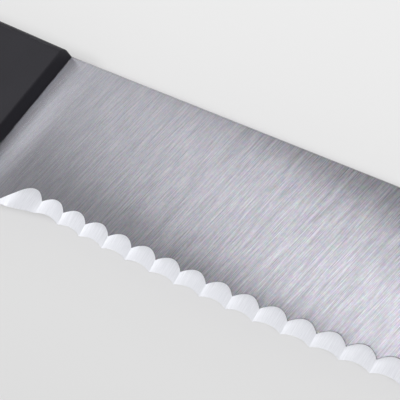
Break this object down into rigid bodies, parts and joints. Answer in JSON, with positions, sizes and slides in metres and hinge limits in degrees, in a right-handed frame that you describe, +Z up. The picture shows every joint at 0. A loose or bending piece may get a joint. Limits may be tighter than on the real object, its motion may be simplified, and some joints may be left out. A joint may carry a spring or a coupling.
{
  "type": "bread knife",
  "caption": "Full-tang bread knife with a scalloped, single-bevel edge, brushed blade and riveted black slab handle, lying on its side.",
  "frame": {"origin": "on the flat outer face of the lower handle scale, half way between the middle and rear rivets, level with the rivets' line", "axes": "+X along the blade to the tip, +Y from the edge to the spine, +Z up, square to the blade's side"},
  "size_m": [0.3302, 0.0334, 0.013],
  "materials": {
    "blade_steel": "satin, ground across the blade; bright ground bevel",
    "handle_plastic": "matte black moulded plastic",
    "rivet_steel": "ground flush with the scale"
  },
  "bodies": {
    "root": {"blade": "blade_steel", "scale_lower": "handle_plastic", "scale_upper": "handle_plastic", "rivet_front_male": "rivet_steel", "rivet_front_female": "rivet_steel", "rivet_middle_male": "rivet_steel", "rivet_middle_female": "rivet_steel", "rivet_rear_male": "rivet_steel", "rivet_rear_female": "rivet_steel"}
  },
  "joints": []
}
